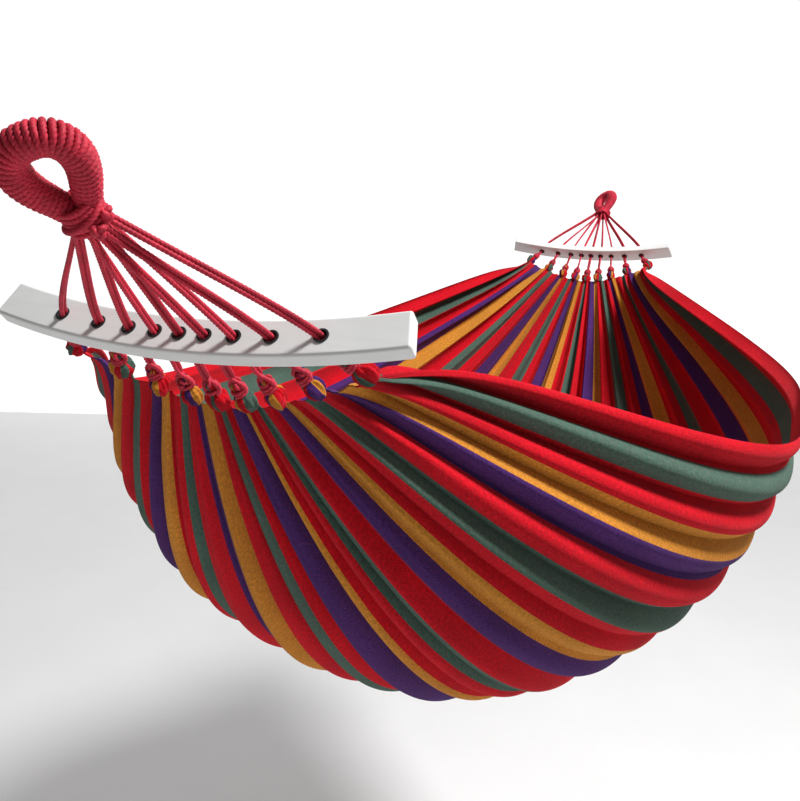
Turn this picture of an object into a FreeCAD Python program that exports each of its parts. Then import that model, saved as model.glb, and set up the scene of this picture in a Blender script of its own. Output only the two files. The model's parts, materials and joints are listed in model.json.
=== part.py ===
import FreeCAD, Part

import math
import os

# Striped cloth hammock with two bowed spreader bars.
# +X runs from the near hanging eye to the far one, +Y to the left, +Z up.
# The origin is the seat of the near eye, where the hook bears on the inside of the rope loop.

# ---- driving dimensions, mm and degrees ----
SPAN = 2050.0            # from eye seat to eye seat, along X
ROPE_SLOPE = 43.0        # fall of the rope line below the level, at rest

EYE_RING_R = 22.5        # radius of the loop's centre line
EYE_CORE_R = 9.5         # bundle of cord inside the loop
EYE_WRAP_R = 13.0        # outside of the cord wound round the loop
EYE_WRAP_GAP = 34.0      # half angle left open where the loop meets its neck
EYE_TWIST = 30.0         # the loop is turned this far about the rope line
NECK_CORE_R = 13.0
NECK_WHIP_R = 18.0
NECK_WHIP_LENGTH = 22.0
NECK_LENGTH = 62.0       # from the seat to the point where the cords fan out
JOINT_GAP = 1.0          # half the gap left in a plane square to X between two bodies

BAR_LENGTH = 400.0
BAR_WIDTH = 36.0
BAR_THICK = 17.0
BAR_BOW = 24.0           # rise of the ends above the middle
BAR_EDGE_R = 3.0
BAR_FROM_NECK = 141.0    # along the rope line, from the fan to the bar's centre
HOLE_SPREAD = 128.0      # outermost holes, from the middle
HOLE_R = 5.6

EYELET_BORE_R = 4.9
EYELET_FLANGE_R = 6.6
EYELET_FLANGE_T = 1.0
EYELET_SLACK = 0.1

CORD_COUNT = 9
STRAND_R = 2.2
STRAND_OFFSET = 2.3      # half the distance between the two strands of a cord
FAN_PITCH = 3.6          # spacing of the cords at the neck
FAN_ROW = 4.7            # the cords leave the neck in two rows, this far above and below it
CORD_IN = 16.0           # where a cord straightens before its hole, from the bar's middle plane
CORD_OUT = 12.0          # where it turns again behind the hole

HEM_SPREAD = 152.0       # half the width of the gathered cloth
HEM_DROP_EDGE = 46.0     # bar to cloth at the edges, along the rope line
HEM_DROP_MIDDLE = 82.0   # and in the middle
HEM_DIP = 12.0           # the middle cords turn down behind the bar, where the cloth is deepest

TUFT_R = 10.0
TUFT_NECK_R = 5.0
TUFT_CENTRE = 20.0       # from the hem towards the bar
TUFT_FOOT = 1.0
LASH_CORD_R = 1.9
LASH_POSITIONS = (4.2, 8.4)

CLOTH_T = 3.0
CLOTH_START = 6.0        # the flat of the cloth begins this far beyond its tied points, along X
SAG_MIDDLE = 560.0       # fall of the middle thread of the cloth below its ends
SAG_EDGE = 385.0
EDGE_SPLAY = 66.0        # how far the edge threads lean outwards
LEFT_SLACK = 0.8         # how much sooner the near left edge drops than the other three
CLOTH_END_X = 400.0      # the gathered end of the cloth turns with the bar up to here
CLOTH_STEPS_LONG = 15
CLOTH_STEPS_ACROSS = 37

SLOPE = math.radians(ROPE_SLOPE)
UP_ROPE = FreeCAD.Vector(-math.cos(SLOPE), 0, math.sin(SLOPE))
DOWN_ROPE = UP_ROPE * -1
BAR_UP = FreeCAD.Vector(math.sin(SLOPE), 0, math.cos(SLOPE))
ACROSS = FreeCAD.Vector(0, 1, 0)
EYE_AXIS = FreeCAD.Rotation(UP_ROPE, EYE_TWIST).multVec(BAR_UP)

RING_CENTRE = DOWN_ROPE * (EYE_RING_R - EYE_WRAP_R)
NECK = DOWN_ROPE * NECK_LENGTH
BAR_CENTRE = NECK + DOWN_ROPE * BAR_FROM_NECK
BOW_RADIUS = (BAR_LENGTH ** 2 / 4 + BAR_BOW ** 2) / (2 * BAR_BOW)
FAR = 10 * SPAN


def save(shape, node):
    shape.exportStep("parts/" + node + ".step")


def save_both_ends(shape, name):
    """The far end of the hammock is the near end's mirror image."""
    save(shape, "near_" + name)
    middle = FreeCAD.Vector(SPAN / 2, 0, 0)
    save(shape.mirror(middle, FreeCAD.Vector(1, 0, 0)), "far_" + name)


def half_space(x, side):
    """A large box that holds every point beyond x on the given side, -1 or +1."""
    low = x if side > 0 else x - FAR
    return Part.makeBox(FAR, 2 * FAR, 2 * FAR, FreeCAD.Vector(low, -FAR, -FAR))


def bow(y):
    """Rise of the bar's centre line at y."""
    return BOW_RADIUS - math.sqrt(BOW_RADIUS ** 2 - y ** 2)


def gather(m):
    """Place of a thread along the gathered hem; m runs over the flat cloth from -1 to +1."""
    return 0.75 * m + 0.25 * m ** 3


def bar_point(y, up, down_rope):
    """A point given in the bar's own directions."""
    return BAR_CENTRE + ACROSS * y + BAR_UP * up + DOWN_ROPE * down_rope


def hem_point(m):
    """Where the thread m of the cloth starts, at the near end."""
    place = gather(m)
    drop = HEM_DROP_EDGE + (HEM_DROP_MIDDLE - HEM_DROP_EDGE) * (1 - m ** 2)
    hem = bar_point(0, bow(HOLE_SPREAD * place) - HEM_DIP * (1 - m ** 2), drop)
    hem.y = HEM_SPREAD * place
    return hem


def cloth_point(x, m):
    """Middle of the cloth's thickness: each thread is a sagging line between its two ends."""
    hem = hem_point(m)
    along = max((x - hem.x) / (SPAN - 2 * hem.x), 0.0)
    fullness = 3.0 + 0.6 * m ** 2
    slack = LEFT_SLACK * max(m, 0.0) * (1 - along) ** 2
    fall = (1 - abs(1 - 2 * along) ** fullness) ** (1 + 2.4 * m ** 4 * (1 - slack))
    sag = (SAG_MIDDLE + (SAG_EDGE - SAG_MIDDLE) * m ** 2) * fall
    lean = math.radians(EDGE_SPLAY) * m
    return FreeCAD.Vector(x, hem.y + sag * math.sin(lean), hem.z - sag * math.cos(lean))


def cloth_solid(start, end):
    """A shell of even thickness between two lines; start and end give x for each thread."""
    step = 1e-3
    faces_points = {-1: [], 1: []}
    for i in range(CLOTH_STEPS_LONG):
        share = i / (CLOTH_STEPS_LONG - 1)
        rows = {-1: [], 1: []}
        for j in range(CLOTH_STEPS_ACROSS):
            m = -1 + 2 * j / (CLOTH_STEPS_ACROSS - 1)
            centre = cloth_point(start(m) + (end(m) - start(m)) * share, m)
            beside = []
            for near_m in (m - step, m + step):
                beside.append(cloth_point(start(near_m) + (end(near_m) - start(near_m)) * share, near_m))
            run = beside[1] - beside[0]
            normal = FreeCAD.Vector(0, -run.z, run.y).normalize()
            for side in rows:
                rows[side].append(centre + normal * (side * CLOTH_T / 2))
        for side in rows:
            faces_points[side].append(rows[side])
    surfaces = []
    for side in faces_points:
        surface = Part.BSplineSurface()
        surface.interpolate(faces_points[side])
        surfaces.append(surface)
    faces = [surface.toShape() for surface in surfaces]
    u0, u1, v0, v1 = surfaces[0].bounds()
    for u in (u0, u1):
        edges = [surface.uIso(u).toShape() for surface in surfaces]
        faces.append(Part.makeRuledSurface(edges[0], edges[1]))
    for v in (v0, v1):
        edges = [surface.vIso(v).toShape() for surface in surfaces]
        faces.append(Part.makeRuledSurface(edges[0], edges[1]))
    shell = Part.makeShell(faces)
    shell.sewShape()
    solid = Part.makeSolid(shell)
    if solid.Volume < 0:
        solid.reverse()
    return solid


def eye_core():
    ring = Part.makeTorus(EYE_RING_R, EYE_CORE_R, RING_CENTRE, EYE_AXIS)
    top = RING_CENTRE + DOWN_ROPE * EYE_RING_R
    neck_length = (NECK - top).Length + NECK_CORE_R * 2
    neck = Part.makeCylinder(NECK_CORE_R, neck_length, top, DOWN_ROPE)
    return ring.fuse(neck).common(half_space(NECK.x - JOINT_GAP, -1))


def eye_wrap():
    """The winding is one open sleeve round the loop, from one side of the neck to the other."""
    turn = FreeCAD.Rotation(EYE_AXIS, EYE_WRAP_GAP)
    outward = turn.multVec(DOWN_ROPE)
    centre = RING_CENTRE + outward * EYE_RING_R
    normal = EYE_AXIS.cross(outward)
    outer = Part.Wire(Part.makeCircle(EYE_WRAP_R, centre, normal))
    inner = Part.Wire(Part.makeCircle(EYE_CORE_R + 0.3, centre, normal))
    section = Part.Face(outer).cut(Part.Face(inner)).Faces[0]
    return section.revolve(RING_CENTRE, EYE_AXIS, 360 - 2 * EYE_WRAP_GAP)


def neck_whipping():
    top = NECK + UP_ROPE * NECK_WHIP_LENGTH
    length = NECK_WHIP_LENGTH + 2 * NECK_WHIP_R
    outer = Part.makeCylinder(NECK_WHIP_R, length, top, DOWN_ROPE)
    inner = Part.makeCylinder(NECK_CORE_R + 0.4, length, top, DOWN_ROPE)
    return outer.cut(inner).common(half_space(NECK.x - JOINT_GAP, -1))


def hole_places():
    """Holes crowd towards the middle of the bar."""
    places = []
    for i in range(CORD_COUNT):
        m = 2 * i / (CORD_COUNT - 1) - 1
        places.append(HOLE_SPREAD * gather(m))
    return places


def spreader_bar():
    half = BAR_LENGTH / 2
    end_angle = math.asin(half / BOW_RADIUS)

    def rim(radius, angle):
        return bar_point(radius * math.sin(angle), BOW_RADIUS - radius * math.cos(angle), -BAR_THICK / 2)

    low = BOW_RADIUS + BAR_WIDTH / 2
    high = BOW_RADIUS - BAR_WIDTH / 2
    lower = Part.Arc(rim(low, -end_angle), rim(low, 0), rim(low, end_angle)).toShape()
    upper = Part.Arc(rim(high, end_angle), rim(high, 0), rim(high, -end_angle)).toShape()
    left = Part.LineSegment(rim(low, end_angle), rim(high, end_angle)).toShape()
    right = Part.LineSegment(rim(high, -end_angle), rim(low, -end_angle)).toShape()
    plank = Part.Face(Part.Wire([lower, left, upper, right])).extrude(DOWN_ROPE * BAR_THICK)
    plank = plank.makeFillet(BAR_EDGE_R, plank.Edges)
    for y in hole_places():
        start = bar_point(y, bow(y), -BAR_THICK)
        plank = plank.cut(Part.makeCylinder(HOLE_R, 2 * BAR_THICK, start, DOWN_ROPE))
    return plank


def eyelet(y):
    """A black bush with a flange on each face of the bar."""
    reach = BAR_THICK / 2 + EYELET_SLACK + EYELET_FLANGE_T
    tube = Part.makeCylinder(HOLE_R - EYELET_SLACK, 2 * reach, bar_point(y, bow(y), -reach), DOWN_ROPE)
    for start in (-reach, reach - EYELET_FLANGE_T):
        base = bar_point(y, bow(y), start)
        tube = tube.fuse(Part.makeCylinder(EYELET_FLANGE_R, EYELET_FLANGE_T, base, DOWN_ROPE))
    bore = Part.makeCylinder(EYELET_BORE_R, 4 * reach, bar_point(y, bow(y), -2 * reach), DOWN_ROPE)
    return tube.cut(bore).removeSplitter()


def knot_axis(i):
    """Hem point of knot i and the direction from it back up its cord."""
    m = 2 * i / (CORD_COUNT - 1) - 1
    y = HOLE_SPREAD * gather(m)
    hem = hem_point(m)
    back = (bar_point(y, bow(y), CORD_OUT) - hem).normalize()
    return hem, back


def cord_route(i):
    """Neck, straightening point, turning point and knot of cord i."""
    m = 2 * i / (CORD_COUNT - 1) - 1
    y = HOLE_SPREAD * gather(m)
    row = FAN_ROW if i % 2 == 0 else -FAN_ROW
    middle = (CORD_COUNT - 1) / 2
    fan = NECK + ACROSS * (FAN_PITCH * (i - middle)) + FreeCAD.Vector(JOINT_GAP, 0, row / math.cos(SLOPE))
    before = bar_point(y, bow(y), -CORD_IN)
    start = fan + (fan - before).normalize() * (2 * STRAND_R)
    after = bar_point(y, bow(y), CORD_OUT)
    hem, back = knot_axis(i)
    end = hem + back * (TUFT_CENTRE + TUFT_R + 0.5)
    return [start, before, after, end]


def rounded_path(points, show):
    """Straight runs joined by tangent arcs, each as large as its two runs allow."""
    edges = []
    last = points[0]
    for a, b, c in zip(points, points[1:], points[2:]):
        back = (a - b).normalize()
        ahead = (c - b).normalize()
        turn = math.pi - back.getAngle(ahead)
        reach = 0.45 * min((a - b).Length, (c - b).Length)
        if show:
            print("cord arc radius", round(reach / math.tan(turn / 2), 1))
        bisector = (back + ahead).normalize()
        radius = reach / math.tan(turn / 2)
        depth = math.hypot(radius, reach) - radius
        arc_start = b + back * reach
        arc_end = b + ahead * reach
        edges.append(Part.LineSegment(last, arc_start).toShape())
        edges.append(Part.Arc(arc_start, b + bisector * depth, arc_end).toShape())
        last = arc_end
    edges.append(Part.LineSegment(last, points[-1]).toShape())
    return Part.Wire(edges)


def clew_cord(i):
    """Two strands side by side, square to the fan."""
    strands = []
    for side in (-1, 1):
        shift = BAR_UP * (side * STRAND_OFFSET)
        points = [point + shift for point in cord_route(i)]
        path = rounded_path(points, side > 0)
        direction = (points[1] - points[0]).normalize()
        circle = Part.Wire(Part.makeCircle(STRAND_R, points[0], direction))
        strand = path.makePipeShell([circle], True, False)
        strands.append(strand.common(half_space(NECK.x + JOINT_GAP, 1)).Solids[0])
    return Part.makeCompound(strands)


def tuft(i):
    """Cloth gathered into a ball above its lashing, turned about the line of its cord."""
    hem, back = knot_axis(i)
    rise = math.sqrt(TUFT_R ** 2 - TUFT_NECK_R ** 2)
    foot = FreeCAD.Vector(0, 0, TUFT_FOOT)
    foot_rim = FreeCAD.Vector(TUFT_NECK_R, 0, TUFT_FOOT)
    shoulder = FreeCAD.Vector(TUFT_NECK_R, 0, TUFT_CENTRE - rise)
    side = FreeCAD.Vector(TUFT_R, 0, TUFT_CENTRE)
    crown = FreeCAD.Vector(0, 0, TUFT_CENTRE + TUFT_R)
    outline = [
        Part.LineSegment(foot, foot_rim).toShape(),
        Part.LineSegment(foot_rim, shoulder).toShape(),
        Part.Arc(shoulder, side, crown).toShape(),
        Part.LineSegment(crown, foot).toShape(),
    ]
    upright = FreeCAD.Vector(0, 0, 1)
    ball = Part.Face(Part.Wire(outline)).revolve(FreeCAD.Vector(0, 0, 0), upright, 360)
    ball.Placement = FreeCAD.Placement(hem, FreeCAD.Rotation(upright, back))
    return ball


def lashing(i):
    hem, back = knot_axis(i)
    radius = TUFT_NECK_R + LASH_CORD_R + 0.1
    return [Part.makeTorus(radius, LASH_CORD_R, hem + back * place, back) for place in LASH_POSITIONS]


os.makedirs("parts", exist_ok=True)

save_both_ends(eye_core(), "eye_core")
save_both_ends(eye_wrap(), "eye_wrap")
save_both_ends(neck_whipping(), "neck_whipping")
save_both_ends(spreader_bar(), "spreader_bar")
save_both_ends(Part.makeCompound([eyelet(y) for y in hole_places()]), "bar_eyelets")
for number in range(CORD_COUNT):
    save_both_ends(clew_cord(number), "clew_cord_" + str(number + 1))
save_both_ends(Part.makeCompound([tuft(i) for i in range(CORD_COUNT)]), "cloth_gathers")
rings = []
for number in range(CORD_COUNT):
    rings.extend(lashing(number))
save_both_ends(Part.makeCompound(rings), "lashings")
save_both_ends(cloth_solid(lambda m: hem_point(m).x + CLOTH_START, lambda m: CLOTH_END_X - JOINT_GAP), "cloth_end")
bed = cloth_solid(lambda m: CLOTH_END_X + JOINT_GAP, lambda m: SPAN - CLOTH_END_X - JOINT_GAP)
save(bed, "bed_cloth")
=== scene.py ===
import json
import math

import bpy
import numpy as np
from mathutils import Matrix, Vector


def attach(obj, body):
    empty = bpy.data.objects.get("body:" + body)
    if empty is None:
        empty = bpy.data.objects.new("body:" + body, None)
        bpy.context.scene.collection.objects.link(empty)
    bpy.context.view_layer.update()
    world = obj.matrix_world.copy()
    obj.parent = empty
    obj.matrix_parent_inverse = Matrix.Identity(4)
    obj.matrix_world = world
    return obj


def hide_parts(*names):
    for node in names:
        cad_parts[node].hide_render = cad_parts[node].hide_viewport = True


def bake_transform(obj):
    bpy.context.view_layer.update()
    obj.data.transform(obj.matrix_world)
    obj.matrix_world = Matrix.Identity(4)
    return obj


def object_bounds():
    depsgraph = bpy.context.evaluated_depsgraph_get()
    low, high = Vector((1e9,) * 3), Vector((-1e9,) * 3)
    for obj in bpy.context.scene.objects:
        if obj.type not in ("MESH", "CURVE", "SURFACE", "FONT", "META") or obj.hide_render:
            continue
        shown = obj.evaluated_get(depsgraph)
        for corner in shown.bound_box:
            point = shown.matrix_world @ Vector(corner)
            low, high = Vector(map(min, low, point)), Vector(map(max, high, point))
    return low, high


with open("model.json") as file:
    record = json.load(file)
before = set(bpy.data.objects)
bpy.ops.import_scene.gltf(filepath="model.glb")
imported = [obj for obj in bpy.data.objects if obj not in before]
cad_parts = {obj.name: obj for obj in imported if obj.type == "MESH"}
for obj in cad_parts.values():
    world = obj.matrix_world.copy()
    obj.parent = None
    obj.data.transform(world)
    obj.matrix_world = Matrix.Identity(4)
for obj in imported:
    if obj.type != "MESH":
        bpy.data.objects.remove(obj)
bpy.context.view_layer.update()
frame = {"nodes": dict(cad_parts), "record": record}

# ---- places read from the frame ----
record = frame["record"]
mounts = {mount["name"]: mount for mount in record["mounts"]}
joints = {joint["name"]: joint for joint in record["behaviour"]["joints"]}
NEAR_SEAT = np.array(mounts["near_eye_seat"]["pos_m"])
SPAN = mounts["far_eye_seat"]["pos_m"][0]
UP_ROPE = np.array(mounts["near_eye_seat"]["axis"])
NECK = np.array(joints["bed_swing"]["pos_m"])
DOWN_ROPE = -UP_ROPE
ACROSS = np.array([0.0, 1.0, 0.0])
BAR_UP = np.cross(DOWN_ROPE, ACROSS)
ENDS = ("near", "far")

# ---- the design's own sizes, as in the CAD source, in metres ----
EYE_RING_R = 0.0225
EYE_WRAP_R = 0.013
EYE_TWIST = math.radians(30.0)
BAR_FROM_NECK = 0.141
BAR_LENGTH = 0.400
BAR_BOW = 0.024
HOLE_SPREAD = 0.128
CORD_COUNT = 9
STRAND_R = 0.0022
FAN_PITCH = 0.0036
FAN_ROW = 0.0047
CORD_IN = 0.016
CORD_OUT = 0.012
HEM_SPREAD = 0.152
HEM_DROP_EDGE = 0.046
HEM_DROP_MIDDLE = 0.082
HEM_DIP = 0.012
LASH_CORD_R = 0.0019
SAG_MIDDLE = 0.560
SAG_EDGE = 0.385
EDGE_SPLAY = math.radians(66.0)
LEFT_SLACK = 0.8

BAR_CENTRE = NECK + DOWN_ROPE * BAR_FROM_NECK
BOW_RADIUS = (BAR_LENGTH ** 2 / 4 + BAR_BOW ** 2) / (2 * BAR_BOW)
EYE_AXIS = BAR_UP * math.cos(EYE_TWIST) + ACROSS * math.sin(EYE_TWIST)
EYE_SIDE = ACROSS * math.cos(EYE_TWIST) - BAR_UP * math.sin(EYE_TWIST)

# ---- the cloth ----
RED_STRIPE = 0.048
STRIPE = 0.042
PERIOD = 2 * RED_STRIPE + 3 * STRIPE
CLOTH_WIDTH = 6 * PERIOD + 2 * RED_STRIPE + STRIPE
CLOTH_LENGTH = 2.10
CLOTH_T = 0.0014
ROWS = 201
COLUMNS = 529


# ---------------------------------------------------------------- camera
def make_camera():
    data = bpy.data.cameras.new("camera")
    camera = bpy.data.objects.new("camera", data)
    bpy.context.scene.collection.objects.link(camera)
    turn, dip, roll = CAMERA_TURN, CAMERA_DIP, CAMERA_ROLL
    forward = Vector((math.cos(turn) * math.cos(dip), math.sin(turn) * math.cos(dip), -math.sin(dip)))
    right = forward.cross(Vector((0, 0, 1))).normalized()
    up = right.cross(forward)
    tilted_right = right * math.cos(roll) - up * math.sin(roll)
    tilted_up = right * math.sin(roll) + up * math.cos(roll)
    axes = Matrix((tilted_right, tilted_up, -forward)).transposed()
    camera.matrix_world = Matrix.Translation(CAMERA_PLACE) @ axes.to_4x4()
    data.sensor_width = 36.0
    data.lens = CAMERA_LENS
    data.clip_start = 0.01
    bpy.context.scene.camera = camera


CAMERA_PLACE = Vector((-0.4667, -0.4493, -0.0242))
CAMERA_TURN = 0.3912
CAMERA_DIP = 0.2152
CAMERA_ROLL = -0.0234
CAMERA_LENS = 40.4
make_camera()


# ---------------------------------------------------------------- mesh helpers
def add_mesh(name, points, faces, material, uv=None, normals=None):
    mesh = bpy.data.meshes.new(name)
    mesh.from_pydata([tuple(point) for point in points], [], faces)
    mesh.polygons.foreach_set("use_smooth", [True] * len(mesh.polygons))
    if uv is not None:
        layer = mesh.uv_layers.new(name="cloth")
        corners = np.empty(len(mesh.loops), dtype=np.int64)
        mesh.loops.foreach_get("vertex_index", corners)
        layer.data.foreach_set("uv", np.asarray(uv, dtype=np.float32)[corners].ravel())
    mesh.materials.append(material)
    mesh.validate()
    mesh.update()
    if normals is not None:
        mesh.normals_split_custom_set_from_vertices([tuple(normal) for normal in normals])
    piece = bpy.data.objects.new(name, mesh)
    bpy.context.scene.collection.objects.link(piece)
    return piece


def grid_faces(rows, columns, closed=False, first=0, flip=False):
    """Quads of a grid of points stored row by row; closed joins each row's last point to its first."""
    faces = []
    last = columns if closed else columns - 1
    for i in range(rows - 1):
        for j in range(last):
            k = (j + 1) % columns
            quad = [first + i * columns + j, first + i * columns + k]
            quad += [first + (i + 1) * columns + k, first + (i + 1) * columns + j]
            faces.append(quad[::-1] if flip else quad)
    return faces


def mirrored(points):
    """The far end is the near end seen in a mirror half way along."""
    result = np.array(points, dtype=float)
    result[..., 0] = SPAN - result[..., 0]
    return result


def unit(vectors):
    return vectors / np.maximum(np.linalg.norm(vectors, axis=-1, keepdims=True), 1e-12)


def spline_points(points, steps=12):
    """Points along a NURBS spline whose control points are the given ones."""
    curve = bpy.data.curves.new("route", "CURVE")
    curve.dimensions = "3D"
    spline = curve.splines.new("NURBS")
    spline.points.add(len(points) - 1)
    for i, point in enumerate(points):
        spline.points[i].co = (point[0], point[1], point[2], 1.0)
    spline.order_u = 3
    spline.use_endpoint_u = True
    spline.resolution_u = steps
    holder = bpy.data.objects.new("route", curve)
    bpy.context.scene.collection.objects.link(holder)
    mesh = bpy.data.meshes.new_from_object(holder)
    result = np.array([vertex.co[:] for vertex in mesh.vertices])
    bpy.data.objects.remove(holder)
    bpy.data.curves.remove(curve)
    bpy.data.meshes.remove(mesh)
    return result


def even(points, spacing):
    """The same line with points a given distance apart, and each point's distance along it."""
    steps = np.linalg.norm(np.diff(points, axis=0), axis=1)
    along = np.concatenate([[0.0], np.cumsum(steps)])
    count = max(int(round(along[-1] / spacing)), 2) + 1
    places = np.linspace(0.0, along[-1], count)
    line = np.stack([np.interp(places, along, points[:, axis]) for axis in range(3)], axis=1)
    return line, places


def frames_along(line, start_normal):
    """Two directions square to the line at each point, turning as little as they can."""
    tangents = unit(np.gradient(line, axis=0))
    normals = np.empty_like(line)
    normal = np.array(start_normal, dtype=float)
    for i, tangent in enumerate(tangents):
        normal = normal - tangent * np.dot(normal, tangent)
        normal = normal / np.linalg.norm(normal)
        normals[i] = normal
    return normals, np.cross(tangents, normals)


PLIES = 3
PLY_GROOVE = 0.30
ROPE_START_NORMAL = (0.31, 0.52, 0.79)


def rope_mesh(lines, radius, segments=15, lay=0.0105):
    """Points, faces and UVs of laid ropes: each section has a bump for each ply, turning along the rope."""
    points, faces, uv = [], [], []
    for line in lines:
        line, along = even(np.asarray(line), lay / 12)
        side, up = frames_along(line, ROPE_START_NORMAL)
        angles = np.linspace(0.0, 2 * math.pi, segments, endpoint=False)
        turn = angles[None, :] - (2 * math.pi / lay) * along[:, None]
        bumps = np.abs(np.cos(PLIES / 2 * turn))
        reach = radius * (1 - PLY_GROOVE + PLY_GROOVE * bumps ** 0.8)
        offset = np.cos(angles)[None, :, None] * side[:, None, :]
        offset = offset + np.sin(angles)[None, :, None] * up[:, None, :]
        ring = line[:, None, :] + reach[:, :, None] * offset
        first = len(points)
        points.extend(ring.reshape(-1, 3))
        faces.extend(grid_faces(len(line), segments, closed=True, first=first))
        faces.append([first + j for j in range(segments)][::-1])
        faces.append([first + (len(line) - 1) * segments + j for j in range(segments)])
        for i in range(len(line)):
            uv.extend([(turn[i, j] / (2 * math.pi), along[i]) for j in range(segments)])
    return points, faces, uv


def helix(line, start_normal, radius, pitch, phase=0.0, points_per_turn=20):
    """A line wound round another; radius is a number or a function of the share of the way along."""
    line, along = even(line, pitch / points_per_turn)
    side, up = frames_along(line, start_normal)
    share = along / along[-1]
    reach = radius(share) if callable(radius) else np.full(len(share), radius)
    angle = phase + 2 * math.pi * along / pitch
    return line + reach[:, None] * (np.cos(angle)[:, None] * side + np.sin(angle)[:, None] * up)


# ---------------------------------------------------------------- the shape of the hammock
def gather(m):
    """Place of a thread along the gathered hem; m runs over the flat cloth from -1 to +1."""
    return 0.75 * m + 0.25 * m ** 3


def bow(y):
    return BOW_RADIUS - np.sqrt(BOW_RADIUS ** 2 - y ** 2)


def bar_point(y, up, down_rope):
    """A point of the near end given in the bar's own directions; takes numbers or arrays."""
    y, up, down_rope = (np.asarray(value, dtype=float)[..., None] for value in (y, up, down_rope))
    return BAR_CENTRE + ACROSS * y + BAR_UP * up + DOWN_ROPE * down_rope


def hem_point(m):
    """Where the thread m of the cloth starts, at the near end."""
    m = np.asarray(m, dtype=float)
    place = gather(m)
    drop = HEM_DROP_EDGE + (HEM_DROP_MIDDLE - HEM_DROP_EDGE) * (1 - m ** 2)
    hem = bar_point(np.zeros_like(m), bow(HOLE_SPREAD * place) - HEM_DIP * (1 - m ** 2), drop)
    hem[..., 1] = HEM_SPREAD * place
    return hem


def sheet_point(along, m):
    """The smooth cloth without folds: along and m run over its length, 0 to 1, and width, -1 to 1."""
    hem = hem_point(m)
    fullness = 3.0 + 0.6 * m ** 2
    slack = LEFT_SLACK * np.maximum(m, 0.0) * (1 - along) ** 2
    fall = np.maximum(1 - np.abs(1 - 2 * along) ** fullness, 0.0) ** (1 + 2.4 * m ** 4 * (1 - slack))
    sag = (SAG_MIDDLE + (SAG_EDGE - SAG_MIDDLE) * m ** 2) * fall
    lean = EDGE_SPLAY * m
    x = hem[..., 0] + (SPAN - 2 * hem[..., 0]) * along
    return np.stack([x, hem[..., 1] + sag * np.sin(lean), hem[..., 2] - sag * np.cos(lean)], axis=-1)


def knot_axis(i):
    """Where the cloth is tied under cord i, and the direction back up the cord."""
    m = 2 * i / (CORD_COUNT - 1) - 1
    y = HOLE_SPREAD * gather(m)
    hem = hem_point(m)
    back = unit(bar_point(y, bow(y), CORD_OUT) - hem)
    return hem, back


# ---------------------------------------------------------------- materials
def new_material(name):
    material = bpy.data.materials.new(name)
    material.use_nodes = True
    nodes = material.node_tree.nodes
    shader = nodes["Principled BSDF"]
    return material, nodes, material.node_tree.links, shader


def math_node(nodes, links, operation, first, second=None, third=None):
    node = nodes.new("ShaderNodeMath")
    node.operation = operation
    for socket, value in zip(node.inputs, (first, second, third)):
        if value is None:
            continue
        if isinstance(value, (int, float)):
            socket.default_value = value
        else:
            links.new(value, socket)
    return node.outputs[0]


def mix_colour(nodes, links, blend, factor, first, second):
    node = nodes.new("ShaderNodeMix")
    node.data_type = "RGBA"
    node.blend_type = blend
    for socket, value in zip((node.inputs[0], node.inputs[6], node.inputs[7]), (factor, first, second)):
        if isinstance(value, (int, float, tuple)):
            socket.default_value = value
        else:
            links.new(value, socket)
    return node.outputs[2]


def noise_node(nodes, links, vector, scale, detail=3.0, roughness=0.55):
    node = nodes.new("ShaderNodeTexNoise")
    node.inputs["Scale"].default_value = scale
    node.inputs["Detail"].default_value = detail
    node.inputs["Roughness"].default_value = roughness
    links.new(vector, node.inputs["Vector"])
    return node.outputs["Fac"]


def ramp_node(nodes, links, value, stops, constant=False):
    node = nodes.new("ShaderNodeValToRGB")
    ramp = node.color_ramp
    ramp.interpolation = "CONSTANT" if constant else "LINEAR"
    while len(ramp.elements) < len(stops):
        ramp.elements.new(0.5)
    for element, (place, colour) in zip(ramp.elements, stops):
        element.position = place
        element.color = colour
    links.new(value, node.inputs["Fac"])
    return node.outputs["Color"]


def bump_node(nodes, links, height, strength, distance, normal=None):
    node = nodes.new("ShaderNodeBump")
    node.inputs["Strength"].default_value = strength
    node.inputs["Distance"].default_value = distance
    links.new(height, node.inputs["Height"])
    if normal is not None:
        links.new(normal, node.inputs["Normal"])
    return node.outputs["Normal"]


CANVAS_RED = (0.72, 0.004, 0.014, 1.0)
CANVAS_GREEN = (0.075, 0.165, 0.125, 1.0)
CANVAS_YELLOW = (0.74, 0.30, 0.035, 1.0)
CANVAS_PURPLE = (0.070, 0.025, 0.170, 1.0)
THREAD = 0.0022


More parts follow.
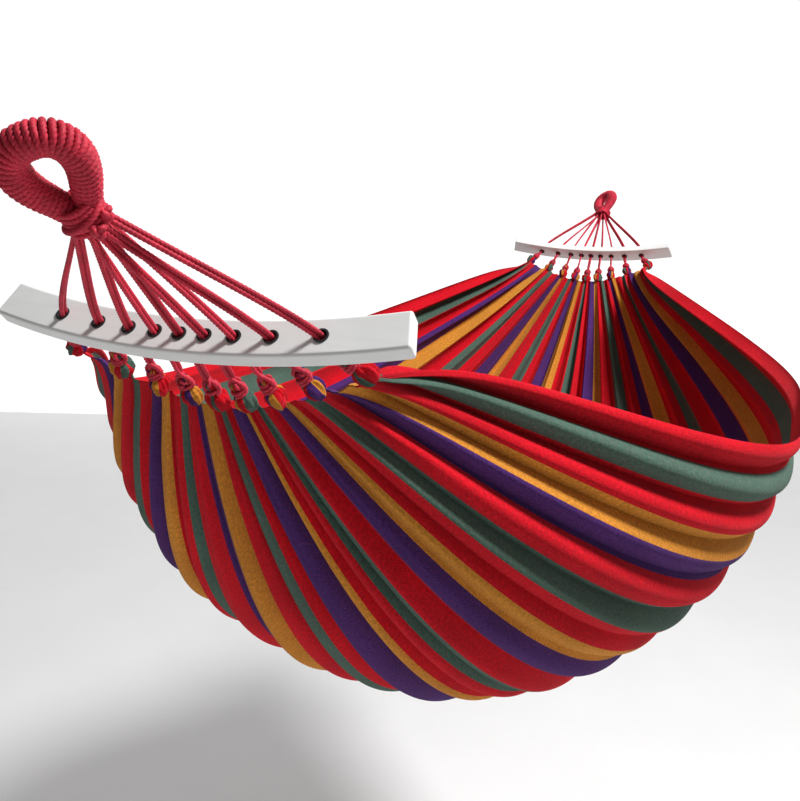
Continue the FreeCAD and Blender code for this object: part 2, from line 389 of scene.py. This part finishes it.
def canvas_material():
    """Woven stripes with flecks: the cloth's UVs are metres across and along the flat sheet."""
    material, nodes, links, shader = new_material("striped_canvas")
    coordinates = nodes.new("ShaderNodeTexCoord").outputs["UV"]
    split = nodes.new("ShaderNodeSeparateXYZ")
    links.new(coordinates, split.inputs[0])
    across, along = split.outputs[0], split.outputs[1]

    fine = noise_node(nodes, links, coordinates, 900.0, 2.0)
    wander = math_node(nodes, links, "MULTIPLY_ADD", fine, 0.0016, -0.0008)
    place = math_node(nodes, links, "ADD", across, wander)
    in_period = math_node(nodes, links, "DIVIDE", place, PERIOD)
    share = math_node(nodes, links, "FRACT", in_period)
    edges = [0.0, RED_STRIPE, RED_STRIPE + STRIPE, 2 * RED_STRIPE + STRIPE, 2 * RED_STRIPE + 2 * STRIPE]
    colours = [CANVAS_RED, CANVAS_GREEN, CANVAS_RED, CANVAS_YELLOW, CANVAS_PURPLE]
    stops = [(edge / PERIOD, colour) for edge, colour in zip(edges, colours)]
    stripes = ramp_node(nodes, links, share, stops, constant=True)

    warp = math_node(nodes, links, "SINE", math_node(nodes, links, "MULTIPLY", across, 2 * math.pi / THREAD))
    weft = math_node(nodes, links, "SINE", math_node(nodes, links, "MULTIPLY", along, 2 * math.pi / THREAD))
    weave = math_node(nodes, links, "MULTIPLY", warp, weft)
    weave = math_node(nodes, links, "MULTIPLY_ADD", weave, 0.5, 0.5)
    slubs = noise_node(nodes, links, coordinates, 260.0, 4.0, 0.7)
    patches = noise_node(nodes, links, coordinates, 9.0, 3.0)

    fading = ramp_node(nodes, links, patches, [(0.30, (0.84, 0.84, 0.84, 1)), (0.70, (1.08, 1.08, 1.08, 1))])
    worn = mix_colour(nodes, links, "MULTIPLY", 1.0, stripes, fading)
    thread = ramp_node(nodes, links, slubs, [(0.32, (0.52, 0.52, 0.52, 1)), (0.68, (1.22, 1.22, 1.22, 1))])
    grained = mix_colour(nodes, links, "MULTIPLY", 0.8, worn, thread)
    flecks = noise_node(nodes, links, coordinates, 620.0, 2.0, 0.6)
    fleck_share = ramp_node(nodes, links, flecks, [(0.54, (0.0, 0.0, 0.0, 1)), (0.66, (0.30, 0.30, 0.30, 1))])
    colour = mix_colour(nodes, links, "MIX", fleck_share, grained, (0.46, 0.05, 0.10, 1.0))
    links.new(colour, shader.inputs["Base Color"])

    shader.inputs["Roughness"].default_value = 0.92
    shader.inputs["Specular IOR Level"].default_value = 0.10
    shader.inputs["Sheen Weight"].default_value = 0.06
    shader.inputs["Sheen Roughness"].default_value = 0.45
    shader.inputs["Sheen Tint"].default_value = (1.0, 0.62, 0.66, 1.0)
    cloth_bump = bump_node(nodes, links, weave, 0.75, 0.0009)
    cloth_bump = bump_node(nodes, links, slubs, 0.60, 0.0012, cloth_bump)
    links.new(cloth_bump, shader.inputs["Normal"])
    return material


def rope_material():
    """Soft red polyester cord: fibres run along each ply."""
    material, nodes, links, shader = new_material("red_cord")
    coordinates = nodes.new("ShaderNodeTexCoord").outputs["UV"]
    mapping = nodes.new("ShaderNodeMapping")
    mapping.inputs["Scale"].default_value = (14.0, 520.0, 1.0)
    links.new(coordinates, mapping.inputs["Vector"])
    fibres = noise_node(nodes, links, mapping.outputs[0], 1.0, 3.0, 0.65)
    place = nodes.new("ShaderNodeTexCoord").outputs["Object"]
    patches = noise_node(nodes, links, place, 60.0, 3.0)
    base = ramp_node(nodes, links, fibres, [(0.30, (0.30, 0.004, 0.014, 1)), (0.72, (0.78, 0.030, 0.075, 1))])
    tone = ramp_node(nodes, links, patches, [(0.35, (0.80, 0.80, 0.80, 1)), (0.65, (1.10, 1.10, 1.10, 1))])
    colour = mix_colour(nodes, links, "MULTIPLY", 1.0, base, tone)
    links.new(colour, shader.inputs["Base Color"])
    shader.inputs["Roughness"].default_value = 0.62
    shader.inputs["Specular IOR Level"].default_value = 0.35
    shader.inputs["Sheen Weight"].default_value = 0.20
    shader.inputs["Sheen Roughness"].default_value = 0.35
    shader.inputs["Sheen Tint"].default_value = (1.0, 0.55, 0.65, 1.0)
    links.new(bump_node(nodes, links, fibres, 0.6, 0.0004), shader.inputs["Normal"])
    return material


def bar_material():
    """White paint on smooth wood: faint grain under it, and a little dirt and wear."""
    material, nodes, links, shader = new_material("white_bar")
    place = nodes.new("ShaderNodeTexCoord").outputs["Object"]
    mapping = nodes.new("ShaderNodeMapping")
    mapping.inputs["Scale"].default_value = (160.0, 9.0, 160.0)
    links.new(place, mapping.inputs["Vector"])
    grain = noise_node(nodes, links, mapping.outputs[0], 1.0, 5.0, 0.6)
    patches = noise_node(nodes, links, place, 14.0, 4.0)
    paint = ramp_node(nodes, links, grain, [(0.30, (0.765, 0.77, 0.755, 1)), (0.62, (0.80, 0.805, 0.795, 1))])
    tone = ramp_node(nodes, links, patches, [(0.30, (0.95, 0.95, 0.94, 1)), (0.70, (1.02, 1.02, 1.02, 1))])
    links.new(mix_colour(nodes, links, "MULTIPLY", 1.0, paint, tone), shader.inputs["Base Color"])
    rough = ramp_node(nodes, links, patches, [(0.3, (0.36, 0.36, 0.36, 1)), (0.7, (0.52, 0.52, 0.52, 1))])
    links.new(rough, shader.inputs["Roughness"])
    shader.inputs["Specular IOR Level"].default_value = 0.4
    links.new(bump_node(nodes, links, grain, 0.25, 0.0004), shader.inputs["Normal"])
    return material


def eyelet_material():
    """Dull near-black with a faint grain: painted shade, standing for the dark openings of the bar's holes.
    """
    material, nodes, links, shader = new_material("black_bush")
    place = nodes.new("ShaderNodeTexCoord").outputs["Object"]
    grain = noise_node(nodes, links, place, 900.0, 3.0)
    # near-black stops: painted shade of the dark hole openings
    stops = [(0.3, (0.006, 0.006, 0.006, 1)), (0.7, (0.016, 0.016, 0.017, 1))]
    links.new(ramp_node(nodes, links, grain, stops), shader.inputs["Base Color"])
    shader.inputs["Roughness"].default_value = 0.62
    links.new(bump_node(nodes, links, grain, 0.3, 0.0002), shader.inputs["Normal"])
    return material


canvas = canvas_material()
rope_red = rope_material()
white_paint = bar_material()
black_bush = eyelet_material()


def dress(node, material):
    """Gives a CAD node that is shown as it is its material."""
    for slot in frame["nodes"][node].material_slots:
        slot.material = material


for end in ENDS:
    dress(end + "_spreader_bar", white_paint)
    # the eyelets are shown near-black as painted shade inside the bar's holes
    dress(end + "_bar_eyelets", black_bush)


# ---------------------------------------------------------------- clew cords
CORD_TWIST = 1.6         # length of one turn of the two strands about each other
STRAND_APART = 0.86      # half the distance between the strands, in strand radii
CORD_STEP = 0.002
HIDDEN_END = 0.008       # the cords start this far up inside the whipping
HIDDEN_PITCH = 0.75      # and draw together there, across and between the two rows
HIDDEN_ROW = 0.8
TUFT_NECK_R = 0.0045
LASH_FOOT = 0.0165       # from the hem towards the bar
LASH_TOP = 0.0225
KNOT_REACH = 0.012       # a cord's strands part this far before the lashing


def cord_route(i):
    """Control points of cord i from inside the whipping to its knot, and the knot's place and direction."""
    m = 2 * i / (CORD_COUNT - 1) - 1
    y = HOLE_SPREAD * gather(m)
    row = FAN_ROW if i % 2 == 0 else -FAN_ROW
    middle = (CORD_COUNT - 1) / 2
    fan = NECK + ACROSS * (FAN_PITCH * (i - middle)) + BAR_UP * row
    inside = NECK + UP_ROPE * HIDDEN_END + ACROSS * (FAN_PITCH * HIDDEN_PITCH * (i - middle))
    inside = inside + BAR_UP * row * HIDDEN_ROW
    hem, back = knot_axis(i)
    end = hem + back * (LASH_TOP + KNOT_REACH)
    return [inside, fan, bar_point(y, bow(y), -CORD_IN), bar_point(y, bow(y), CORD_OUT), end], hem, back


def cord_strands(i):
    """The two strands of cord i lie side by side, then part round the gather to its lashing."""
    route, hem, back = cord_route(i)
    line, along = even(spline_points(route), CORD_STEP)
    side, up = frames_along(line, BAR_UP)
    angle = 0.5 * math.sin(2.1 * i) + 2 * math.pi * along / CORD_TWIST
    hug = unit(np.cross(back, BAR_UP))
    strands = []
    for sign in (-1, 1):
        offset = np.cos(angle)[:, None] * side + np.sin(angle)[:, None] * up
        strand = line + sign * STRAND_APART * STRAND_R * offset
        around = []
        for place, beside in ((LASH_TOP + 0.005, 0.0060), (LASH_TOP, 0.0073), (LASH_FOOT, 0.0053)):
            around.append(hem + back * place + hug * sign * beside)
        tail = spline_points([strand[-4], strand[-1]] + around)
        strands.append(np.concatenate([strand[:-4], tail]))
    return strands


def build_cords(end):
    """Nine pairs of strands, one piece for each cord."""
    for i in range(CORD_COUNT):
        strands = cord_strands(i)
        if end == "far":
            strands = [mirrored(strand) for strand in strands]
        points, faces, uv = rope_mesh(strands, STRAND_R)
        number = str(i + 1)
        cord = add_mesh(end + "_cord_strands_" + number, points, faces, rope_red, uv)
        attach(cord, end + "_end")
        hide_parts(end + "_clew_cord_" + number)


# ---------------------------------------------------------------- rope eyes
WRAP_CORD_R = 0.0026
WRAP_LAY = 0.0100
WRAP_PITCH = 0.0037
EYE_SLIM = 0.62          # the winding's radius where the legs meet, as a share of the full one
EYE_SLIM_SHARE = 0.30    # it is full from this share of the way along the loop
CORE_STRANDS = 7
CORE_STRAND_R = 0.0031
CORE_INSET = 0.0050      # from the winding's line to the strands' lines
CORE_TWIST = 0.09


def eye_route():
    """The loop is a drop: round where the hook bears, and drawn together at the neck."""
    centre = NEAR_SEAT + DOWN_ROPE * (EYE_RING_R - EYE_WRAP_R)
    # places as (up the rope line, to the side); the widest is the ring's own radius
    half = [(-0.046, 0.0055), (-0.036, 0.0078), (-0.026, 0.0120), (-0.014, 0.0185), (0.000, EYE_RING_R),
            (0.013, 0.0205), (0.0235, 0.0105)]
    places = half + [(up, -side) for up, side in reversed(half)]
    return [centre + UP_ROPE * up + EYE_SIDE * side for up, side in places]


def build_eye(end):
    """The cord wound round the loop, and the bundle of strands inside it."""
    route = spline_points(eye_route(), 16)
    if end == "far":
        route = mirrored(route)
    winding = EYE_WRAP_R - WRAP_CORD_R

    def reach(share):
        """The loop is slimmer where its two legs meet."""
        near_neck = np.minimum(share, 1 - share) / EYE_SLIM_SHARE
        return winding * (EYE_SLIM + (1 - EYE_SLIM) * np.clip(near_neck, 0, 1) ** 0.7)

    wound = helix(route, EYE_AXIS, reach, WRAP_PITCH)
    points, faces, uv = rope_mesh([wound], WRAP_CORD_R, segments=12, lay=WRAP_LAY)
    wrap = add_mesh(end + "_eye_winding", points, faces, rope_red, uv)
    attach(wrap, "eyes")
    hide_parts(end + "_eye_wrap")

    line, along = even(route, 0.003)
    share = along / along[-1]
    side, up = frames_along(line, EYE_AXIS)
    strands = []
    for k in range(CORE_STRANDS):
        angle = 2 * math.pi * (k / CORE_STRANDS + along / CORE_TWIST)
        offset = np.cos(angle)[:, None] * side + np.sin(angle)[:, None] * up
        strands.append(line + (reach(share) - CORE_INSET)[:, None] * offset)
    points, faces, uv = rope_mesh(strands, CORE_STRAND_R, segments=9)
    core = add_mesh(end + "_eye_bundle", points, faces, rope_red, uv)
    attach(core, "eyes")
    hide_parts(end + "_eye_core")


WHIP_FOOT = 0.0005
WHIP_TOP = 0.023
WHIP_PITCH = 0.0046
WHIP_TAPER = 0.0015
WHIP_R = 0.0150
CROSSING_R = 0.0178
CROSSING_PITCH = 0.028
WHIP_KNOTS = ((0.004, -2.2), (0.009, -1.5))
WHIP_KNOT_OUT = 0.0180
WHIP_KNOT_SIZE = 0.0042


def build_whipping(end):
    """Turns of cord round the neck, one crossing pass over them and two small knots at the side."""
    axis = np.linspace(NECK + UP_ROPE * WHIP_FOOT, NECK + UP_ROPE * WHIP_TOP, 30)
    turns = helix(axis, BAR_UP, lambda share: WHIP_R - WHIP_TAPER * share, WHIP_PITCH)
    crossing = helix(axis, BAR_UP, lambda share: CROSSING_R - WHIP_TAPER * share, CROSSING_PITCH,
                     phase=1.1, points_per_turn=60)
    lines = [turns, crossing]
    for up, turn in WHIP_KNOTS:
        outward = math.cos(turn) * BAR_UP + math.sin(turn) * ACROSS
        middle = NECK + UP_ROPE * up + WHIP_KNOT_OUT * outward
        lines.append(knot_line(middle, outward, UP_ROPE, WHIP_KNOT_SIZE))
    if end == "far":
        lines = [mirrored(line) for line in lines]
    points, faces, uv = rope_mesh(lines, WRAP_CORD_R, segments=12, lay=WRAP_LAY)
    whipping = add_mesh(end + "_neck_turns", points, faces, rope_red, uv)
    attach(whipping, "eyes")
    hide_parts(end + "_neck_whipping")


def knot_line(middle, axis, side, size):
    """A small overhand knot, a trefoil drawn out along its axis."""
    t = np.linspace(0.2, 2 * math.pi - 0.2, 90)
    other = np.cross(axis, side)
    x = (np.sin(t) + 2 * np.sin(2 * t)) / 3
    y = (np.cos(t) - 2 * np.cos(2 * t)) / 3
    z = -np.sin(3 * t) / 2
    shape = x[:, None] * side + y[:, None] * other + z[:, None] * axis
    return middle + size * shape


for end in ENDS:
    build_cords(end)
    build_eye(end)
    build_whipping(end)


# ---------------------------------------------------------------- gathers and lashings
LASH_LAY = 0.0090
LASH_PITCH = 0.0034
CELLS = CORD_COUNT       # the cloth is tied in as many bunches as there are cords
PLEATED = 0.42           # half the share of a bunch's cloth that runs into its knot
KNOT_SIZE = 0.0056
KNOT_ABOVE = 0.0045      # middle of the knot, beyond the top of the lashing
TUFT_FOOT = -0.006
TUFT_TOP = 0.029


def tuft_radius(height):
    """A puffed bunch under the lashing, a narrow neck in it, and a stub of the hem above."""
    places = [TUFT_FOOT, -0.003, 0.001, 0.006, 0.011, LASH_FOOT, LASH_TOP, 0.0250, 0.0275, TUFT_TOP]
    radii = [0.0050, 0.0076, 0.0092, 0.0103, 0.0094, TUFT_NECK_R, TUFT_NECK_R, 0.0056, 0.0054, 0.0030]
    return np.interp(height, places, radii)


def tuft_mesh(i):
    """Cloth bunched in its lashing, its stripes side by side as in the sheet below it."""
    hem, back = knot_axis(i)
    side = unit(np.cross(back, BAR_UP))
    up = np.cross(side, back)
    rings, around = 36, 72
    rng = np.random.default_rng(40 + i)
    pleats = rng.integers(7, 10)
    phase = rng.uniform(0, 2 * math.pi, 4)
    angles = np.linspace(0, 2 * math.pi, around, endpoint=False)
    points, uv = [], []
    for height in np.linspace(TUFT_FOOT, TUFT_TOP, rings):
        radius = tuft_radius(height)
        loose = np.clip((radius - TUFT_NECK_R) / 0.004, 0, 1)
        turn = 25.0 * height
        wave = np.cos(pleats * (angles + turn) + phase[0]) + 0.6 * np.cos((pleats + 4) * angles + phase[1])
        lobes = 0.12 * np.cos(2 * angles + phase[2]) + 0.08 * np.cos(3 * angles + phase[3])
        reach = radius * (1 + (0.04 + 0.035 * loose) * wave + loose * lobes)
        lift = 0.0014 * np.cos(3 * angles + phase[2]) * loose
        ring = hem + back * (height + lift)[:, None]
        ring = ring + reach[:, None] * (np.cos(angles)[:, None] * side + np.sin(angles)[:, None] * up)
        points.extend(ring)
        across = CLOTH_WIDTH * (i + 0.5 + PLEATED * np.cos(angles + 0.15 * wave)) / CELLS
        uv.extend([(value, 0.02 - height) for value in across])
    faces = grid_faces(rings, around, closed=True)
    faces.append(list(range(around))[::-1])
    faces.append([(rings - 1) * around + j for j in range(around)])
    return points, faces, uv


def build_gathers(end):
    """The nine bunches of cloth, and the turns and knot of cord that lash each of them."""
    points, faces, uv = [], [], []
    for i in range(CELLS):
        some_points, some_faces, some_uv = tuft_mesh(i)
        first = len(points)
        points.extend(some_points)
        uv.extend(some_uv)
        faces.extend([[first + index for index in face] for face in some_faces])
    points = np.array(points)
    if end == "far":
        points = mirrored(points)
        faces = [face[::-1] for face in faces]
    gathers = add_mesh(end + "_gather_balls", points, faces, canvas, uv)
    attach(gathers, end + "_end")
    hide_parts(end + "_cloth_gathers")

    lines = []
    for i in range(CELLS):
        hem, back = knot_axis(i)
        axis = np.linspace(hem + back * LASH_FOOT, hem + back * LASH_TOP, 12)
        lines.append(helix(axis, BAR_UP, TUFT_NECK_R + LASH_CORD_R * 0.8, LASH_PITCH, phase=i))
        side = unit(np.cross(back, BAR_UP))
        middle = hem + back * (LASH_TOP + KNOT_ABOVE)
        lean = unit(side * math.cos(1.7 * i) + np.cross(side, back) * math.sin(1.7 * i) + 0.5 * back)
        lines.append(knot_line(middle, lean, unit(np.cross(lean, back)), KNOT_SIZE))
    if end == "far":
        lines = [mirrored(line) for line in lines]
    points, faces, uv = rope_mesh(lines, LASH_CORD_R, segments=12, lay=LASH_LAY)
    lashing = add_mesh(end + "_lashing_turns", points, faces, rope_red, uv)
    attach(lashing, end + "_end")
    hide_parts(end + "_lashings")


for end in ENDS:
    build_gathers(end)


# ---------------------------------------------------------------- the cloth
ROW_CROWDING = 0.62      # how much closer the rows of points lie at the two ends
FOLDS = 24
FOLD_WANDER = 1.3
FINE_FOLDS = 63
FINE_DEPTH = 0.20        # depth of the fine folds as a share of their width
FINE_REACH = 0.14
FAN_LENGTH = 0.26        # the folds have run out of their bunches this far from the hem
BUNCH_SHARE = 0.37       # half the width of a bunch at the hem, as a share of the way to the next knot
END_BUNCH_R = 0.008
SWAG = 0.006
HEM_DEPTH = 0.33         # depth of the folds as a share of their width, near the hem
MIDDLE_DEPTH = 0.05      # and in the middle of the cloth
DEPTH_REACH = 0.66


def cloth_places():
    """Rows lie closer together near the two gathered ends."""
    t = np.linspace(0, 1, ROWS)
    along = t - ROW_CROWDING * np.sin(2 * math.pi * t) / (2 * math.pi)
    m = np.linspace(-1, 1, COLUMNS)
    return np.meshgrid(along, m, indexing="ij")


def gathered_hem():
    """The end edge of the cloth: most of each ninth runs into its knot, with a short swag between knots."""
    line = np.empty((COLUMNS, 3))
    knots = [knot_axis(i) for i in range(CELLS)]
    share = np.linspace(0, 1, COLUMNS) * CELLS
    for j in range(COLUMNS):
        i = min(int(share[j]), CELLS - 1)
        t = share[j] - i - 0.5
        hem, back = knots[i]
        outermost = (i == 0 and t < 0) or (i == CELLS - 1 and t > 0)
        if outermost:
            side = unit(np.cross(BAR_UP, back))
            line[j] = hem + side * END_BUNCH_R * np.clip(t / PLEATED, -1, 1)
            continue
        other = knots[i + 1][0] if t > 0 else knots[i - 1][0]
        if abs(t) <= PLEATED:
            share_of_way = BUNCH_SHARE * abs(t) / PLEATED
        else:
            gap = (abs(t) - PLEATED) / (1 - 2 * PLEATED)
            share_of_way = BUNCH_SHARE + (1 - 2 * BUNCH_SHARE) * gap
        swag = SWAG * math.sin(math.pi * share_of_way)
        line[j] = hem + (other - hem) * share_of_way + DOWN_ROPE * swag
    return line


def surface_normals(points):
    """Directions square to a grid of points, towards the lying side of the cloth."""
    along = np.gradient(points, axis=0)
    across = np.gradient(points, axis=1)
    return unit(np.cross(along, across))


def fold_phase(s, along, rng):
    """Folds of uneven width: about 24 across the cloth, wandering a little along it."""
    phase = 2 * math.pi * FOLDS * s
    for k in range(1, 9):
        drift = rng.uniform(-1.5, 1.5)
        reach = rng.uniform(-1, 1) * FOLD_WANDER / math.sqrt(k)
        phase += reach * np.sin(2 * math.pi * k * s + rng.uniform(0, 6.28) + drift * along)
    return phase


def fold_shape(phase):
    """Full round ridges towards the outside with a narrow crease between each two."""
    return 0.25 * np.cos(phase) + 0.75 * (2 * np.abs(np.cos(phase / 2)) ** 0.8 - 1)


def folded_cloth():
    """The sheet with folds that fan out of the knots and die away towards the middle."""
    along, m = cloth_places()
    rng = np.random.default_rng(7)
    s = (m + 1) / 2
    end_share = np.minimum(along, 1 - along)
    distance = end_share * CLOTH_LENGTH
    base = sheet_point(along, m)
    normals = surface_normals(base)

    hem = gathered_hem()
    pull = np.clip(1 - distance / FAN_LENGTH, 0, 1)[..., None] ** 2.0
    near_shift = (hem - base[0])[None]
    far_shift = (mirrored(hem) - base[-1])[None]
    shift = np.where((along < 0.5)[..., None], near_shift, far_shift) * pull

    base_width = np.linalg.norm(np.diff(base, axis=1), axis=2).sum(axis=1, keepdims=True)
    rise = np.clip(distance / 0.06, 0, 1)
    depth = MIDDLE_DEPTH + HEM_DEPTH * np.exp(-(distance / DEPTH_REACH) ** 1.5)
    depth = depth * (0.45 + 0.55 * rise)
    uneven = 0.85 + 0.30 * np.sin(2 * math.pi * 2.3 * s + 1.0) * np.sin(2 * math.pi * 5.1 * s)
    near_fold = fold_shape(fold_phase(s, along, rng))
    far_fold = fold_shape(fold_phase(s, along, rng))
    mix = 0.5 - 0.5 * np.cos(math.pi * np.clip((along - 0.35) / 0.3, 0, 1))
    wave = (1 - mix) * near_fold + mix * far_fold
    swing = depth * uneven * wave * base_width / FOLDS

    fine = np.cos(2 * math.pi * FINE_FOLDS * s + 1.5 * np.sin(2 * math.pi * 4 * s))
    swing += FINE_DEPTH * np.exp(-distance / FINE_REACH) * rise * fine * base_width / FINE_FOLDS
    return base + shift - normals * swing[..., None], along


def sheet_piece(name, points, normals, uv):
    """A closed thin sheet: both faces and the four edges."""
    rows, columns = points.shape[:2]
    outer = (points + normals * CLOTH_T / 2).reshape(-1, 3)
    inner = (points - normals * CLOTH_T / 2).reshape(-1, 3)
    count = rows * columns
    faces = grid_faces(rows, columns, flip=True) + grid_faces(rows, columns, first=count)
    loop = [j for j in range(columns)]
    loop += [i * columns + columns - 1 for i in range(1, rows)]
    loop += [(rows - 1) * columns + j for j in range(columns - 2, -1, -1)]
    loop += [i * columns for i in range(rows - 2, 0, -1)]
    for a, b in zip(loop, loop[1:] + loop[:1]):
        faces.append([a, b, b + count, a + count])
    all_normals = np.concatenate([normals.reshape(-1, 3), -normals.reshape(-1, 3)])
    all_uv = np.concatenate([uv.reshape(-1, 2)] * 2)
    return add_mesh(name, np.concatenate([outer, inner]), faces, canvas, all_uv, all_normals)


def build_cloth():
    """One sheet shown as two pieces that meet in the middle of the bed."""
    points, along = folded_cloth()
    normals = surface_normals(points)
    across = np.linspace(0, CLOTH_WIDTH, COLUMNS)[None, :].repeat(ROWS, axis=0)
    uv = np.stack([across, along * CLOTH_LENGTH], axis=-1)
    middle = ROWS // 2
    parts = {"near": slice(0, middle + 1), "far": slice(middle, ROWS)}
    for end, rows in parts.items():
        piece = sheet_piece(end + "_canvas", points[rows], normals[rows], uv[rows])
        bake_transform(piece)
        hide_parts(end + "_cloth_end", "bed_cloth")


build_cloth()


# ---------------------------------------------------------------- floor and light
FLOOR_BELOW = 1.10
WALL_AWAY = 7.0
WALL_GLOW = 0.62
FLOOR_GLOW = 0.10
FLOOR_HALF = 9.0
WALL_HALF = 8.0
WALL_HEIGHT = 6.0
WORLD_STRENGTH = 0.19
KEY_PLACE = (1.0, -2.1, 2.8)
KEY_SIZE = 0.9
KEY_POWER = 225.0


def area_light(name, place, target, size, power):
    data = bpy.data.lights.new(name, "AREA")
    data.shape = "DISK"
    data.size = size
    data.energy = power
    light = bpy.data.objects.new(name, data)
    light.location = place
    direction = Vector(target) - Vector(place)
    light.rotation_euler = direction.to_track_quat("-Z", "Y").to_euler()
    bpy.context.scene.collection.objects.link(light)


def stage_material(name, glow):
    material, nodes, links, shader = new_material(name)
    place = nodes.new("ShaderNodeTexCoord").outputs["Object"]
    grain = noise_node(nodes, links, place, 3.0, 4.0)
    tone = ramp_node(nodes, links, grain, [(0.3, (0.86, 0.86, 0.86, 1)), (0.7, (0.89, 0.89, 0.89, 1))])
    links.new(tone, shader.inputs["Base Color"])
    shader.inputs["Roughness"].default_value = 0.9
    shader.inputs["Emission Color"].default_value = (1.0, 1.0, 1.0, 1.0)
    shader.inputs["Emission Strength"].default_value = glow
    return material


def build_stage():
    """A pale floor, and a pale lit wall far behind the hammock."""
    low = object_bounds()[0][2] - FLOOR_BELOW
    half = FLOOR_HALF
    corners = [(-half, -half, low), (half, -half, low), (half, half, low), (-half, half, low)]
    floor = add_mesh("floor", corners, [[0, 1, 2, 3]], stage_material("pale_floor", FLOOR_GLOW))
    view = Vector((math.cos(CAMERA_TURN), math.sin(CAMERA_TURN), 0))
    side = Vector((-view.y, view.x, 0))
    foot = view * WALL_AWAY + Vector((0, 0, low))
    reach = side * WALL_HALF
    rise = Vector((0, 0, WALL_HEIGHT))
    corners = [foot - reach, foot + reach, foot + reach + rise, foot - reach + rise]
    wall = add_mesh("wall", corners, [[0, 1, 2, 3]], stage_material("pale_wall", WALL_GLOW))

    world = bpy.data.worlds.new("studio")
    world.use_nodes = True
    background = world.node_tree.nodes["Background"]
    background.inputs["Color"].default_value = (1.0, 1.0, 1.0, 1.0)
    background.inputs["Strength"].default_value = WORLD_STRENGTH
    bpy.context.scene.world = world
    middle = (SPAN / 2, 0, -0.45)
    area_light("key", KEY_PLACE, middle, KEY_SIZE, KEY_POWER)


build_stage()
bpy.context.scene.view_settings.view_transform = "Standard"
